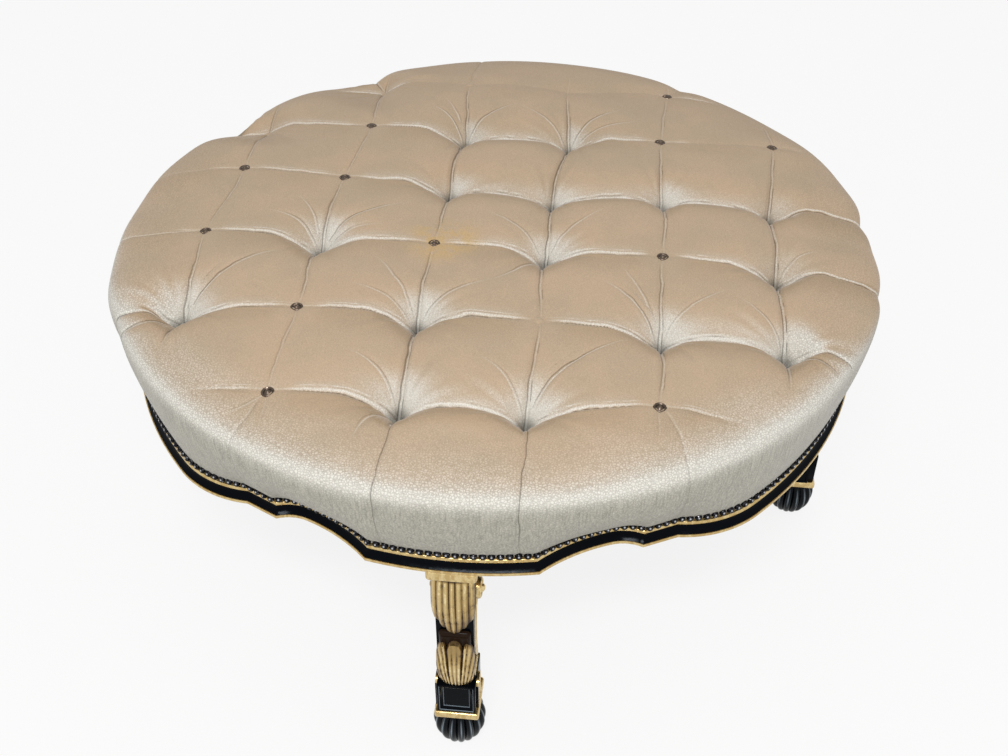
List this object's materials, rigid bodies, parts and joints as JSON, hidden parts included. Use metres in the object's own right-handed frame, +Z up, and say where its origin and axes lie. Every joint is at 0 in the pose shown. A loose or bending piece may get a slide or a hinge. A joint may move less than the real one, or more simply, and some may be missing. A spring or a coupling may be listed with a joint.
{
  "type": "tufted ottoman",
  "caption": "Large round button-tufted ottoman, upholstered in velvet, with a scalloped gilt and black frame on carved scroll legs with bun feet.",
  "frame": {"origin": "on the floor under the middle of the seat", "axes": "+Z up, the front leg towards -Y and the right leg towards +X"},
  "size_m": [0.9788, 0.98, 0.49],
  "materials": {
    "ebonised_wood": "glossy black lacquer over wood",
    "gilt_wood": "worn antique gilding over carved wood",
    "frame_wood": "sawn, unfinished",
    "seat_velvet": "crushed chenille velvet over stuffing",
    "button_velvet": "the seat's velvet over a button mould",
    "button_metal": "dark bronzed, worn",
    "dust_cloth": "thin woven black cloth",
    "jute_webbing": "coarse woven straps",
    "hessian": "coarse plain weave",
    "spring_steel": "coppered wire",
    "screw_steel": "plain steel"
  },
  "bodies": {
    "root": {"front_leg_foot": "ebonised_wood", "front_leg_band": "gilt_wood", "front_leg_block": "ebonised_wood", "front_leg_cheeks": "gilt_wood", "front_leg_lower_leaf": "gilt_wood", "front_leg_scroll": "ebonised_wood", "front_leg_volutes": "gilt_wood", "front_leg_upper_leaf": "gilt_wood", "front_leg_cap": "gilt_wood", "right_leg_foot": "ebonised_wood", "right_leg_band": "gilt_wood", "right_leg_block": "ebonised_wood", "right_leg_cheeks": "ebonised_wood", "right_leg_lower_leaf": "gilt_wood", "right_leg_scroll": "ebonised_wood", "right_leg_volutes": "gilt_wood", "right_leg_upper_leaf": "gilt_wood", "right_leg_cap": "gilt_wood", "back_leg_foot": "ebonised_wood", "back_leg_band": "gilt_wood", "back_leg_block": "ebonised_wood", "back_leg_cheeks": "gilt_wood", "back_leg_lower_leaf": "gilt_wood", "back_leg_scroll": "ebonised_wood", "back_leg_volutes": "gilt_wood", "back_leg_upper_leaf": "gilt_wood", "back_leg_cap": "gilt_wood", "left_leg_foot": "ebonised_wood", "left_leg_band": "gilt_wood", "left_leg_block": "ebonised_wood", "left_leg_cheeks": "ebonised_wood", "left_leg_lower_leaf": "gilt_wood", "left_leg_scroll": "ebonised_wood", "left_leg_volutes": "gilt_wood", "left_leg_upper_leaf": "gilt_wood", "left_leg_cap": "gilt_wood", "front_seat_rail": "frame_wood", "right_seat_rail": "frame_wood", "back_seat_rail": "frame_wood", "left_seat_rail": "frame_wood", "leg_bolts": "screw_steel", "rail_glue_blocks": "frame_wood", "rail_dowels": "frame_wood", "gilt_fillet": "gilt_wood", "ebonised_cove": "ebonised_wood", "gilt_bead": "gilt_wood", "dust_cover": "dust_cloth", "seat_webbing": "jute_webbing", "seat_springs": "spring_steel", "spring_hessian": "hessian", "tufted_cushion": "seat_velvet", "deep_buttons": "button_velvet", "bare_metal_buttons": "button_metal", "covered_buttons": "button_velvet"}
  },
  "joints": []
}
